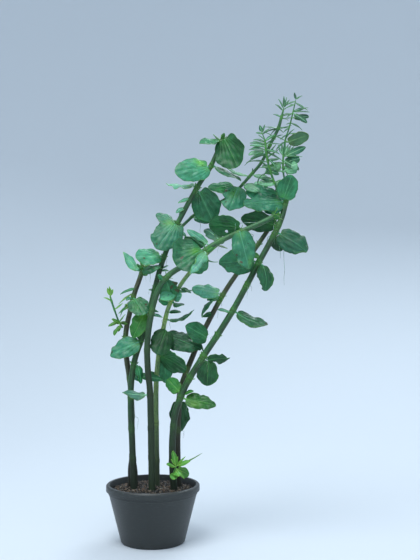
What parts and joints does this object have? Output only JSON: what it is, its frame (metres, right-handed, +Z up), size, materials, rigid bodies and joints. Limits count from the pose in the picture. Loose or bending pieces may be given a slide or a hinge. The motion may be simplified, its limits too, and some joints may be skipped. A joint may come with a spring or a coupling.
{
  "type": "potted aquarium stem plant",
  "caption": "Clump of aquarium stem plant with round cupped leaves, leaning out of a small tapered plastic pot of dark gravel.",
  "frame": {"origin": "middle of the underside of the pot", "axes": "+Z up, -Y towards the viewer of the plant's front, +X the side that the stems lean to"},
  "size_m": [0.1549, 0.0696, 0.3365],
  "materials": {
    "pot": "dark moulded polypropylene with a low sheen",
    "soil": "dark brown fine aquarium gravel",
    "stem_green": "olive green stem, browner between its nodes",
    "stem_brown": "brownish stem, greener at its nodes",
    "stem_pale": "pale yellow-green young stem",
    "shoot": "thin fresh green shoot",
    "leaf_pale": "pale bluish green leaf, speckled",
    "leaf_light": "light green leaf with fine paler veins",
    "leaf_bright": "saturated yellow-green leaf",
    "leaf_middle": "middle green leaf",
    "leaf_dark": "dark green leaf with a lighter midrib",
    "leaf_shade": "very dark green leaf",
    "leaf_olive": "olive leaf, reddish towards its edge"
  },
  "bodies": {
    "root": {"branch_top": "stem_green", "leaf_back_blue": "leaf_dark", "leaf_back_edge": "leaf_dark", "leaf_back_low": "leaf_shade", "leaf_back_round": "leaf_pale", "leaf_branch_half": "leaf_middle", "leaf_branch_spotted": "leaf_light", "leaf_cross_curl": "leaf_dark", "leaf_cross_hanging": "leaf_light", "leaf_cross_large": "leaf_middle", "leaf_cross_low": "leaf_pale", "leaf_cross_narrow": "leaf_pale", "leaf_cross_shade": "leaf_shade", "leaf_cross_small": "leaf_pale", "leaf_fine_olive": "leaf_olive", "leaf_front_behind": "leaf_shade", "leaf_front_bright": "leaf_bright", "leaf_front_broad": "leaf_light", "leaf_front_curved": "leaf_dark", "leaf_front_left": "leaf_dark", "leaf_front_long": "leaf_middle", "leaf_front_notched": "leaf_shade", "leaf_front_pleated": "leaf_light", "leaf_front_round": "leaf_shade", "leaf_front_small": "leaf_shade", "leaf_front_top": "leaf_dark", "leaf_left_dome": "leaf_dark", "leaf_left_pointed": "leaf_pale", "leaf_left_round": "leaf_middle", "leaf_pale_crescent": "leaf_dark", "leaf_pale_damaged": "leaf_dark", "leaf_pale_dome": "leaf_shade", "leaf_pale_hanging": "leaf_dark", "leaf_pale_shelf": "leaf_dark", "leaf_pale_tip": "leaf_dark", "leaf_pale_under": "leaf_light", "leaf_pale_wide": "leaf_shade", "leaf_tall_behind": "leaf_light", "leaf_tall_big": "leaf_light", "leaf_tall_bright": "leaf_bright", "leaf_tall_edge": "leaf_pale", "leaf_tall_folded": "leaf_middle", "leaf_tall_hanging": "leaf_dark", "leaf_tall_low": "leaf_light", "leaf_tall_ridge": "leaf_light", "leaf_tall_round": "leaf_light", "leaf_tall_side": "leaf_dark", "leaf_tall_top_left": "leaf_middle", "leaf_tall_top_right": "leaf_shade", "pot": "pot", "shoot_fine": "shoot", "shoot_foot": "shoot", "shoot_left": "shoot", "soil": "soil", "stem_back": "stem_brown", "stem_crossing": "stem_green", "stem_front": "stem_green", "stem_left": "stem_brown", "stem_pale": "stem_pale", "stem_tall": "stem_green"}
  },
  "joints": []
}
